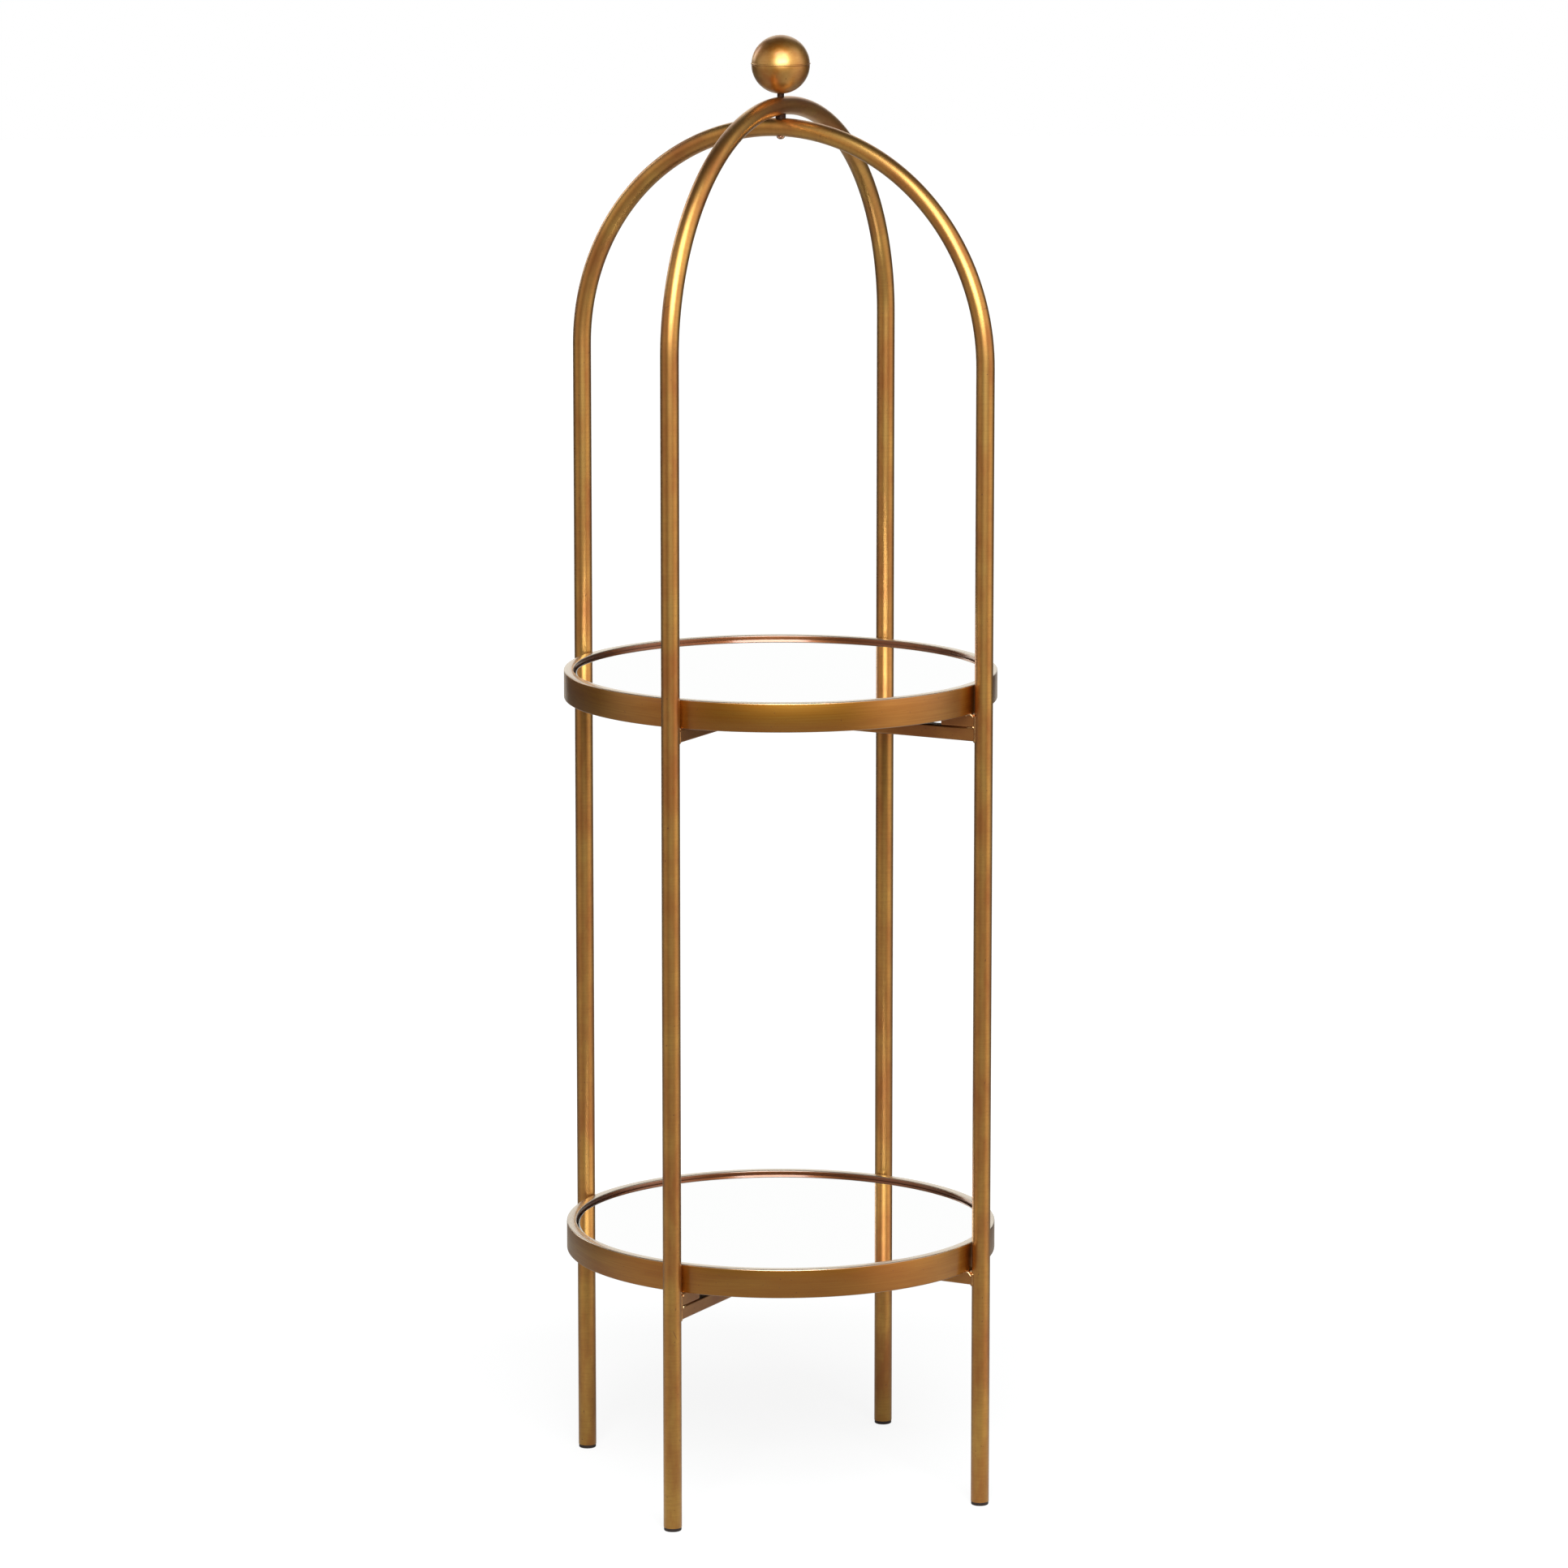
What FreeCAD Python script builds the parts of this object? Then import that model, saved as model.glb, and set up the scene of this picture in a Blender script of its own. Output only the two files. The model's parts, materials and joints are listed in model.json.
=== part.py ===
import FreeCAD, Part
import math
import os
import Sketcher

# Two-tray round shelving unit.
# Two bent tubes cross at right angles over the middle and stand on their four ends.
# The tall hoop runs from the front foot (-Y) to the back foot (+Y).
# The low hoop runs from the right foot (+X) to the left foot (-X) and passes under the tall one.
# Each tray is a rim of rectangular tube round a mirror on a board, carried by two crossed bars.
# The origin is on the floor, under the middle of the trays. Lengths are in millimetres.

doc = FreeCAD.newDocument("ShelvingUnit")
sheet = doc.addObject("Spreadsheet::Sheet", "Size")

# Driving sizes, one row each: a word and its length
sizes = {
    # hoops
    "tube_d": 16.0,
    "tube_wall": 1.2,
    "tall_hoop_top": 1234.6,
    "crossing_gap": 2.5,
    # trays
    "tray_d": 381.0,
    "tray_leg_gap": 1.0,
    "upper_tray_top": 733.5,
    "lower_tray_top": 237.0,
    "rim_width": 8.5,
    "rim_height": 25.4,
    "rim_corner": 1.2,
    "rim_wall": 1.2,
    "board_thickness": 18.0,
    "board_gap": 0.4,
    "board_chamfer": 1.0,
    "mirror_thickness": 4.0,
    "mirror_gap": 2.0,
    "mirror_arris": 1.0,
    "mirror_arris_drop": 0.5,
    # bars under the trays
    "bar_side": 12.0,
    "bar_corner": 1.6,
    "bar_wall": 1.0,
    "weld_gap": 0.3,
    "tab_length": 30.0,
    # feet
    "foot_flange_step": 0.3,
    "foot_flange_height": 3.0,
    "foot_flange_round": 1.0,
    "foot_stem_gap": 1.1,
    "foot_stem_height": 16.0,
    "foot_stem_taper": 1.5,
    "foot_wall": 2.2,
    "foot_rib_gap": 0.15,
    "foot_rib_height": 1.6,
    "foot_rib_start": 2.4,
    "foot_rib_pitch": 4.0,
    # ball
    "ball_d": 50.8,
    "ball_wall": 1.2,
    "ball_seat_d": 9.0,
    "seam_lip": 0.5,
    "seam_height": 1.4,
    "seam_chamfer": 0.2,
    "lap_height": 2.5,
    "lap_wall": 0.8,
    "lap_gap": 0.1,
    # collars between ball and hoop, and between the hoops
    "neck_wall": 0.7,
    "neck_height": 2.8,
    "spacer_wall": 2.2,
    "seat_gap": 0.15,
    # boss in the ball
    "insert_d": 10.0,
    "insert_height": 14.0,
    "insert_flange_d": 18.0,
    "insert_flange_height": 2.0,
    "thread_gap": 0.05,
    # screw
    "screw_d": 4.0,
    "screw_clearance": 0.3,
    "screw_reach": 10.0,
    "screw_tip": 0.6,
    "head_d": 7.2,
    "head_height": 2.6,
    "head_rim": 0.6,
    "socket_side": 1.4,
    "socket_depth": 1.4,
}
for row, (word, length) in enumerate(sizes.items(), start=1):
    sheet.set(f"A{row}", word)
    sheet.set(f"B{row}", str(length))
    sheet.setAlias(f"B{row}", word)
doc.recompute()

# Places worked out from the sizes, as formulas
hoop_radius = "(Size.tray_d / 2 + Size.tray_leg_gap + Size.tube_d / 2)"
tall_hoop_line = "(Size.tall_hoop_top - Size.tube_d / 2)"
low_hoop_line = f"({tall_hoop_line} - Size.tube_d - Size.crossing_gap)"
half_crossing = "((Size.tube_d + Size.crossing_gap) / 2)"
under_low_hoop = f"({low_hoop_line} - Size.tube_d / 2)"
leg_cope_d = "(Size.tube_d + 2 * Size.weld_gap)"
rim_inside_d = "(Size.tray_d - 2 * Size.rim_width)"
rim_drop = "Size.rim_height"
board_top = "(Size.board_thickness - Size.rim_height)"
ball_r = "(Size.ball_d / 2)"
ball_inside_r = "(Size.ball_d / 2 - Size.ball_wall)"
ball_drop = f"sqrt({ball_r} ^ 2 - (Size.ball_seat_d / 2) ^ 2)"
ball_centre = f"(Size.tall_hoop_top + Size.neck_height + {ball_drop})"
tube_inside_r = "(Size.tube_d / 2 - Size.tube_wall)"
screw_hole_d = "(Size.screw_d + 2 * Size.screw_clearance)"
hole_r = f"({screw_hole_d} / 2)"

UP = FreeCAD.Vector(0, 0, 1)
trays = {"upper": "Size.upper_tray_top", "lower": "Size.lower_tray_top"}
turns = {"right": 0, "back": 90, "left": 180, "front": 270}


def value(formula):
    return float(sheet.evalExpression(formula))


def new_body(name, x="0", y="0", z="0", turn=0):
    # a sub-part whose own origin stands at x, y, z, turned about the vertical by whole degrees
    body = doc.addObject("PartDesign::Body", name)
    body.Label = name
    place = FreeCAD.Vector(value(x), value(y), value(z))
    body.Placement = FreeCAD.Placement(place, FreeCAD.Rotation(UP, turn))
    for axis, formula in (("x", x), ("y", y), ("z", z)):
        if formula != "0":
            body.setExpression(f"Placement.Base.{axis}", formula)
    return body


def new_sketch(body, name, role, lift=None):
    # a sketch on one of the sub-part's own planes, moved along the plane's normal by lift
    sketch = body.newObject("Sketcher::SketchObject", name)
    plane = [f for f in body.Origin.OriginFeatures if f.Role == role][0]
    sketch.AttachmentSupport = [(plane, "")]
    sketch.MapMode = "FlatFace"
    if lift:
        sketch.setExpression("AttachmentOffset.Base.z", lift)
    return sketch


def fix(sketch, kind, *what, formula):
    # a constraint whose length follows the sheet
    index = sketch.addConstraint(Sketcher.Constraint(kind, *what, value(formula)))
    sketch.setExpression(f"Constraints[{index}]", formula)


def place_across(sketch, geometry, point, formula):
    if formula == "0":
        sketch.addConstraint(Sketcher.Constraint("PointOnObject", geometry, point, -2))
    else:
        fix(sketch, "DistanceX", -1, 1, geometry, point, formula=formula)


def place_along(sketch, geometry, point, formula):
    if formula == "0":
        sketch.addConstraint(Sketcher.Constraint("PointOnObject", geometry, point, -1))
    else:
        fix(sketch, "DistanceY", -1, 1, geometry, point, formula=formula)


def add_circle(sketch, across, along, diameter):
    centre = FreeCAD.Vector(value(across), value(along), 0)
    circle = sketch.addGeometry(Part.Circle(centre, UP, value(diameter) / 2))
    fix(sketch, "Diameter", circle, formula=diameter)
    place_across(sketch, circle, 3, across)
    place_along(sketch, circle, 3, along)


def add_outline(sketch, points, arcs=None):
    # A closed outline. Each point is a pair of formulas, across and along.
    # A side that isn't straight is in arcs under the number of the point where it begins,
    # as its centre's two formulas, its radius and whether it runs anticlockwise.
    arcs = arcs or {}
    count = len(points)
    places = [FreeCAD.Vector(value(across), value(along), 0) for across, along in points]
    first = sketch.GeometryCount
    ends = []
    for i, start in enumerate(places):
        end = places[(i + 1) % count]
        if i in arcs:
            across, along, radius, anticlockwise = arcs[i]
            centre = FreeCAD.Vector(value(across), value(along), 0)
            circle = Part.Circle(centre, UP, value(radius))
            begin, finish = (start, end) if anticlockwise else (end, start)
            angles = [math.atan2(p.y - centre.y, p.x - centre.x) for p in (begin, finish)]
            sketch.addGeometry(Part.ArcOfCircle(circle, *angles))
            ends.append((1, 2) if anticlockwise else (2, 1))
        else:
            sketch.addGeometry(Part.LineSegment(start, end))
            ends.append((1, 2))
    for i, (across, along) in enumerate(points):
        before = (i - 1) % count
        sketch.addConstraint(
            Sketcher.Constraint("Coincident", first + before, ends[before][1], first + i, ends[i][0])
        )
        # a point on an arc is held by the one coordinate that the arc leaves free there
        arc = arcs.get(i) or arcs.get(before)
        dx = places[i].x - value(arc[0]) if arc else 0
        dy = places[i].y - value(arc[1]) if arc else 0
        if not arc or abs(dy) >= abs(dx):
            place_across(sketch, first + i, ends[i][0], across)
        if not arc or abs(dy) < abs(dx):
            place_along(sketch, first + i, ends[i][0], along)
    for i, (across, along, radius, anticlockwise) in arcs.items():
        place_across(sketch, first + i, 3, across)
        place_along(sketch, first + i, 3, along)
        fix(sketch, "Radius", first + i, formula=radius)


def rectangle(left, right, bottom, top):
    return [(left, bottom), (right, bottom), (right, top), (left, top)]


def add_rounded_rectangle(sketch, left, right, bottom, top, radius):
    # each corner's arc begins at an odd point, after the straight side before it
    lower = f"({bottom} + {radius})"
    upper = f"({top} - {radius})"
    inner = f"({left} + {radius})"
    outer = f"({right} - {radius})"
    points = [
        (inner, bottom), (outer, bottom), (right, lower), (right, upper),
        (outer, top), (inner, top), (left, upper), (left, lower),
    ]
    arcs = {
        1: (outer, lower, radius, True),
        3: (outer, upper, radius, True),
        5: (inner, upper, radius, True),
        7: (inner, lower, radius, True),
    }
    add_outline(sketch, points, arcs)


def revolve(body, name, sketch):
    turned = body.newObject("PartDesign::Revolution", name)
    turned.Profile = sketch
    turned.ReferenceAxis = (sketch, ["V_Axis"])
    turned.Angle = 360
    return turned


def cut(body, feature):
    # a cut that misses the material shows no error, so the volume has to fall
    before = feature.BaseFeature.Shape.Volume
    doc.recompute()
    if feature.Shape.Volume >= before:
        raise RuntimeError(f"{feature.Name} cuts nothing")


def bore_upright(body, name, circles, depth, middle=None):
    # round holes along the vertical; each circle is across, along, diameter
    sketch = new_sketch(body, name + "_circles", "XY_Plane", middle)
    for across, along, diameter in circles:
        add_circle(sketch, across, along, diameter)
    doc.recompute()
    pocket = body.newObject("PartDesign::Pocket", name)
    pocket.Profile = sketch
    pocket.SideType = "Symmetric"
    pocket.setExpression("Length", depth)
    cut(body, pocket)


# Hoops: each one bent tube, an upside-down U open at both feet

pipe_error_share = 0.0001


def make_hoop(name, line_top, turn):
    # drawn from right to left, then turned about the vertical
    body = new_body(name, turn=turn)
    springing = f"({line_top} - {hoop_radius})"
    reach = value(hoop_radius)
    low, high = value("Size.foot_flange_height"), value(springing)

    path = new_sketch(body, name + "_path", "XZ_Plane")
    right_foot, right_top = (FreeCAD.Vector(reach, level, 0) for level in (low, high))
    left_foot, left_top = (FreeCAD.Vector(-reach, level, 0) for level in (low, high))
    arch = Part.Circle(FreeCAD.Vector(0, high, 0), UP, reach)
    path.addGeometry(Part.LineSegment(right_foot, right_top))
    path.addGeometry(Part.ArcOfCircle(arch, 0, math.pi))
    path.addGeometry(Part.LineSegment(left_top, left_foot))
    for near, far in ((0, 1), (1, 2)):
        path.addConstraint(Sketcher.Constraint("Tangent", near, 2, far, 1))
    for leg in (0, 2):
        path.addConstraint(Sketcher.Constraint("Vertical", leg))
    place_across(path, 1, 3, "0")
    place_along(path, 1, 3, springing)
    fix(path, "Radius", 1, formula=hoop_radius)
    place_along(path, 0, 1, "Size.foot_flange_height")
    place_along(path, 2, 2, "Size.foot_flange_height")

    section = new_sketch(body, name + "_section", "XY_Plane", "Size.foot_flange_height")
    add_circle(section, hoop_radius, "0", "Size.tube_d")
    add_circle(section, hoop_radius, "0", f"(2 * {tube_inside_r})")
    doc.recompute()

    tube = body.newObject("PartDesign::AdditivePipe", name + "_tube")
    tube.Profile = section
    tube.Spine = (path, ["Edge1", "Edge2", "Edge3"])
    doc.recompute()
    section_area = Part.Face(section.Shape.Wires[0]).Area - Part.Face(section.Shape.Wires[1]).Area
    expected = abs(section_area) * path.Shape.Length
    if abs(tube.Shape.Volume / expected - 1) > pipe_error_share:
        raise RuntimeError(f"{name} isn't as long as its path")

    screw_hole = [("0", "0", screw_hole_d)]
    bore_upright(body, name + "_screw_hole", screw_hole, "(2 * Size.tube_d)", line_top)


make_hoop("hoop_tall", tall_hoop_line, turns["back"])
make_hoop("hoop_low", low_hoop_line, turns["right"])


# Trays: each has its own origin at the middle of the rim's top

def make_rim(name, top):
    body = new_body(name, z=top)
    outside = "(Size.tray_d / 2)"
    inside = f"({rim_inside_d} / 2)"
    section = new_sketch(body, name + "_section", "XZ_Plane")
    add_rounded_rectangle(section, inside, outside, f"(-{rim_drop})", "0", "Size.rim_corner")
    hollow = rectangle(
        f"({inside} + Size.rim_wall)", f"({outside} - Size.rim_wall)",
        f"(-{rim_drop} + Size.rim_wall)", "(-Size.rim_wall)",
    )
    add_outline(section, hollow)
    revolve(body, name + "_ring", section)


def make_board(name, top):
    body = new_body(name, z=top)
    edge = f"({rim_inside_d} / 2 - Size.board_gap)"
    profile = new_sketch(body, name + "_profile", "XZ_Plane")
    add_outline(profile, [
        ("0", f"(-{rim_drop})"),
        (f"({edge} - Size.board_chamfer)", f"(-{rim_drop})"),
        (edge, f"(Size.board_chamfer - {rim_drop})"),
        (edge, board_top),
        ("0", board_top),
    ])
    revolve(body, name + "_disc", profile)


def make_mirror(name, top):
    body = new_body(name, z=top)
    edge = f"({rim_inside_d} / 2 - Size.mirror_gap)"
    face = f"({board_top} + Size.mirror_thickness)"
    profile = new_sketch(body, name + "_profile", "XZ_Plane")
    add_outline(profile, [
        ("0", board_top),
        (edge, board_top),
        (edge, f"({face} - Size.mirror_arris_drop)"),
        (f"({edge} - Size.mirror_arris)", face),
        ("0", face),
    ])
    revolve(body, name + "_disc", profile)


# Bars and tabs: square tube, each with its own origin on the tube's middle line

def add_square_tube(body, name, length, offset=None):
    # runs along X, centred on its origin, or outwards from offset where that is given
    section = new_sketch(body, name + "_section", "YZ_Plane", offset)
    half = "(Size.bar_side / 2)"
    hollow = "(Size.bar_side / 2 - Size.bar_wall)"
    inner_corner = "(Size.bar_corner - Size.bar_wall)"
    add_rounded_rectangle(section, f"(-{half})", half, f"(-{half})", half, "Size.bar_corner")
    add_rounded_rectangle(section, f"(-{hollow})", hollow, f"(-{hollow})", hollow, inner_corner)
    doc.recompute()
    tube = body.newObject("PartDesign::Pad", name + "_tube")
    tube.Profile = section
    tube.SideType = "One side" if offset else "Symmetric"
    tube.setExpression("Length", length)
    doc.recompute()


def make_bar(name, middle, turn):
    # the bar spans the legs, and a leg's round is coped out of each end
    body = new_body(name, z=middle, turn=turn)
    add_square_tube(body, name, f"(2 * {hoop_radius})")
    copes = [(hoop_radius, "0", leg_cope_d), (f"(-{hoop_radius})", "0", leg_cope_d)]
    bore_upright(body, name + "_copes", copes, "(2 * Size.bar_side)")


def make_tab(name, middle, turn):
    # the tab's outer end is coped to the leg, and its inner end is square
    body = new_body(name, z=middle, turn=turn)
    start = f"({hoop_radius} - {leg_cope_d} / 2 - Size.tab_length)"
    add_square_tube(body, name, f"({hoop_radius} - {start})", start)
    bore_upright(body, name + "_cope", [(hoop_radius, "0", leg_cope_d)], "(2 * Size.bar_side)")


def make_cross(tray, top, rim_bar, lower_bar):
    # one bar lies against the rim and the other right under it, with a tab on each end
    near = f"({top} - {rim_drop} - Size.bar_side / 2)"
    far = f"({near} - Size.bar_side)"
    names = {"front_back": ("front", "back"), "right_left": ("right", "left")}
    for axis, middle in ((rim_bar, near), (lower_bar, far)):
        make_bar(f"{tray}_bar_{axis}", middle, turns[names[axis][0]])
    for side in names[lower_bar]:
        make_tab(f"{tray}_tab_{side}", near, turns[side])


for tray, top in trays.items():
    make_rim(f"tray_rim_{tray}", top)
    make_board(f"tray_board_{tray}", top)
    make_mirror(f"mirror_{tray}", top)
make_cross("upper", trays["upper"], rim_bar="front_back", lower_bar="right_left")
make_cross("lower", trays["lower"], rim_bar="right_left", lower_bar="front_back")


# Feet: ribbed plugs in the tube ends, each with its own origin on the floor

rib_count = 3


def make_foot(name, x, y):
    body = new_body(name, x, y)
    flange_r = "(Size.tube_d / 2 - Size.foot_flange_step)"
    stem_r = f"({tube_inside_r} - Size.foot_stem_gap)"
    bore_r = f"({stem_r} - Size.foot_wall)"
    flat_r = f"({flange_r} - Size.foot_flange_round)"
    stem_top = "(Size.foot_flange_height + Size.foot_stem_height)"
    tip_r = f"({stem_r} - Size.foot_stem_taper / 2)"

    profile = new_sketch(body, name + "_profile", "XZ_Plane")
    points = [
        ("0", "0"),
        (flat_r, "0"),
        (flange_r, "Size.foot_flange_round"),
        (flange_r, "Size.foot_flange_height"),
        (stem_r, "Size.foot_flange_height"),
        (stem_r, f"({stem_top} - Size.foot_stem_taper)"),
        (tip_r, stem_top),
        (bore_r, stem_top),
        (bore_r, "Size.foot_flange_height"),
        ("0", "Size.foot_flange_height"),
    ]
    arcs = {1: (flat_r, "Size.foot_flange_round", "Size.foot_flange_round", True)}
    add_outline(profile, points, arcs)
    revolve(body, name + "_plug", profile)

    # ribs that nearly fill the tube, wide at the bottom, so that the plug goes in but not out
    root_r = f"(({stem_r} + {bore_r}) / 2)"
    rib_r = f"({tube_inside_r} - Size.foot_rib_gap)"
    rib_bottom = "(Size.foot_flange_height + Size.foot_rib_start)"
    rib_top = f"({rib_bottom} + Size.foot_rib_height)"
    rib_profile = new_sketch(body, name + "_rib_profile", "XZ_Plane")
    add_outline(rib_profile, [
        (root_r, rib_bottom),
        (rib_r, rib_bottom),
        (stem_r, rib_top),
        (root_r, rib_top),
    ])
    rib = revolve(body, name + "_rib", rib_profile)
    doc.recompute()
    ribs = body.newObject("PartDesign::LinearPattern", name + "_ribs")
    ribs.Originals = [rib]
    ribs.Direction = (rib_profile, ["V_Axis"])
    ribs.Occurrences = rib_count
    ribs.setExpression("Length", f"({rib_count - 1} * Size.foot_rib_pitch)")
    body.Tip = ribs


make_foot("foot_right", hoop_radius, "0")
make_foot("foot_back", "0", hoop_radius)
make_foot("foot_left", f"(-{hoop_radius})", "0")
make_foot("foot_front", "0", f"(-{hoop_radius})")


# Ball: two thin half shells, each with its own origin at the ball's centre

def make_lower_shell(name):
    body = new_body(name, z=ball_centre)
    lap_r = f"sqrt({ball_inside_r} ^ 2 - Size.lap_height ^ 2)"
    lap_outside = f"({lap_r} - Size.lap_gap)"
    lap_inside = f"({lap_outside} - Size.lap_wall)"
    profile = new_sketch(body, name + "_profile", "XZ_Plane")
    points = [
        (hole_r, f"(-{ball_drop})"),
        ("(Size.ball_seat_d / 2)", f"(-{ball_drop})"),
        (ball_r, "0"),
        (lap_outside, "0"),
        (lap_outside, "Size.lap_height"),
        (lap_inside, "Size.lap_height"),
        (lap_inside, "(-Size.lap_height)"),
        (lap_r, "(-Size.lap_height)"),
        (hole_r, f"(-sqrt({ball_inside_r} ^ 2 - {hole_r} ^ 2))"),
    ]
    arcs = {1: ("0", "0", ball_r, True), 7: ("0", "0", ball_inside_r, False)}
    add_outline(profile, points, arcs)
    revolve(body, name + "_bowl", profile)


def make_upper_shell(name):
    # its rim stands a little proud of the ball all round
    body = new_body(name, z=ball_centre)
    rim_r = f"({ball_r} + Size.seam_lip)"
    rim_flat_r = f"({rim_r} - Size.seam_chamfer)"
    profile = new_sketch(body, name + "_profile", "XZ_Plane")
    points = [
        (ball_inside_r, "0"),
        (rim_flat_r, "0"),
        (rim_r, "Size.seam_chamfer"),
        (rim_r, "(Size.seam_height - Size.seam_chamfer)"),
        (rim_flat_r, "Size.seam_height"),
        (f"sqrt({ball_r} ^ 2 - Size.seam_height ^ 2)", "Size.seam_height"),
        ("0", ball_r),
        ("0", ball_inside_r),
    ]
    arcs = {5: ("0", "0", ball_r, True), 7: ("0", "0", ball_inside_r, False)}
    add_outline(profile, points, arcs)
    revolve(body, name + "_dome", profile)


def make_insert(name):
    # its flange rests inside the lower shell, where the ball is as wide as the flange
    body = new_body(name, z=ball_centre)
    flange_r = "(Size.insert_flange_d / 2)"
    bottom = f"(Size.seat_gap - sqrt({ball_inside_r} ^ 2 - {flange_r} ^ 2))"
    flange_top = f"({bottom} + Size.insert_flange_height)"
    top = f"({bottom} + Size.insert_height)"
    thread_r = "(Size.screw_d / 2 + Size.thread_gap)"
    profile = new_sketch(body, name + "_profile", "XZ_Plane")
    add_outline(profile, [
        (thread_r, bottom),
        (flange_r, bottom),
        (flange_r, flange_top),
        ("(Size.insert_d / 2)", flange_top),
        ("(Size.insert_d / 2)", top),
        (thread_r, top),
    ])
    revolve(body, name + "_boss", profile)


make_lower_shell("finial_lower_shell")
make_upper_shell("finial_upper_shell")
make_insert("finial_insert")


# Collars: short round sleeves on the screw, hollowed to sit on the round of a hoop

def add_sleeve(body, name, wall, bottom, height):
    rings = new_sketch(body, name + "_rings", "XY_Plane", bottom)
    add_circle(rings, "0", "0", f"({screw_hole_d} + 2 * {wall})")
    add_circle(rings, "0", "0", screw_hole_d)
    doc.recompute()
    sleeve = body.newObject("PartDesign::Pad", name + "_sleeve")
    sleeve.Profile = rings
    sleeve.setExpression("Length", height)
    doc.recompute()


def cut_saddle(body, name, plane, hoop_line):
    # takes away the space of a hoop's arch, whose tube's middle line passes at hoop_line
    sketch = new_sketch(body, name + "_tube_round", plane)
    centre = f"({hoop_line} - {hoop_radius})"
    width = value("Size.tube_d")
    level = value(centre)
    axis = Part.LineSegment(FreeCAD.Vector(0, level, 0), FreeCAD.Vector(width, level, 0))
    sketch.addGeometry(axis, True)
    place_across(sketch, 0, 1, "0")
    place_along(sketch, 0, 1, centre)
    sketch.addConstraint(Sketcher.Constraint("Horizontal", 0))
    fix(sketch, "DistanceX", 0, 1, 0, 2, formula="Size.tube_d")
    add_circle(sketch, "0", hoop_line, "(Size.tube_d + 2 * Size.seat_gap)")
    doc.recompute()
    saddle = body.newObject("PartDesign::Groove", name)
    saddle.Profile = sketch
    saddle.ReferenceAxis = (sketch, ["Axis0"])
    saddle.Angle = 360
    cut(body, saddle)


def make_neck(name):
    # its origin is on the tall hoop's middle line, at the top of the arch
    body = new_body(name, z=tall_hoop_line)
    bottom = "(Size.tube_d / 4)"
    height = f"(Size.tube_d / 2 + Size.neck_height - {bottom})"
    add_sleeve(body, name, "Size.neck_wall", bottom, height)
    cut_saddle(body, name + "_saddle", "XZ_Plane", "0")


def make_spacer(name):
    # its origin is half-way between the hoops
    body = new_body(name, z=f"({tall_hoop_line} - {half_crossing})")
    add_sleeve(body, name, "Size.spacer_wall", f"(-{half_crossing})", f"(2 * {half_crossing})")
    cut_saddle(body, name + "_upper_saddle", "XZ_Plane", half_crossing)
    cut_saddle(body, name + "_lower_saddle", "YZ_Plane", f"(-{half_crossing})")


make_neck("finial_neck")
make_spacer("hoop_spacer")


# Screw: its own origin is under the low hoop, where the tube is lowest in section

def make_screw(name):
    body = new_body(name, z=under_low_hoop)
    head_r = "(Size.head_d / 2)"
    shank_r = "(Size.screw_d / 2)"
    seat = "(-Size.seat_gap)"
    bottom = "(-Size.seat_gap - Size.head_height)"
    rise = "(Size.head_height - Size.head_rim)"
    dome_r = f"(({head_r} ^ 2 + {rise} ^ 2) / (2 * {rise}))"
    top = "(2 * Size.tube_d + Size.crossing_gap + Size.neck_height + Size.screw_reach)"
    profile = new_sketch(body, name + "_profile", "XZ_Plane")
    points = [
        ("0", bottom),
        (head_r, "(-Size.seat_gap - Size.head_rim)"),
        (head_r, seat),
        (shank_r, seat),
        (shank_r, f"({top} - Size.screw_tip)"),
        (f"({shank_r} - Size.screw_tip)", top),
        ("0", top),
    ]
    add_outline(profile, points, {0: ("0", f"({bottom} + {dome_r})", dome_r, True)})
    revolve(body, name + "_turned", profile)

    hexagon = new_sketch(body, name + "_hexagon", "XY_Plane", bottom)
    side = "Size.socket_side"
    half_side = "(Size.socket_side / 2)"
    flat = "(Size.socket_side * sqrt(3) / 2)"
    add_outline(hexagon, [
        (side, "0"), (half_side, flat), (f"(-{half_side})", flat),
        (f"(-{side})", "0"), (f"(-{half_side})", f"(-{flat})"), (half_side, f"(-{flat})"),
    ])
    doc.recompute()
    socket = body.newObject("PartDesign::Pocket", name + "_socket")
    socket.Profile = hexagon
    socket.Reversed = True
    socket.setExpression("Length", "Size.socket_depth")
    cut(body, socket)


make_screw("hoop_screw")

# Everything is computed and sound before anything is written
doc.recompute()
for thing in doc.Objects:
    if "Invalid" in thing.State or "Error" in thing.State:
        raise RuntimeError(f"{thing.Label} is {thing.State}")
bodies = [thing for thing in doc.Objects if thing.TypeId == "PartDesign::Body"]
for body in bodies:
    shape = body.Shape
    if shape.isNull() or not shape.isValid() or len(shape.Solids) != 1:
        raise RuntimeError(f"{body.Label} isn't one sound solid")

os.makedirs("parts", exist_ok=True)
for body in bodies:
    body.Shape.exportStep(f"parts/{body.Label}.step")
    box = body.Shape.optimalBoundingBox(False)
    size = f"{box.XLength:.2f} x {box.YLength:.2f} x {box.ZLength:.2f}"
    print(f"{body.Label}: {size}, volume {body.Shape.Volume:.0f}")
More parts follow.
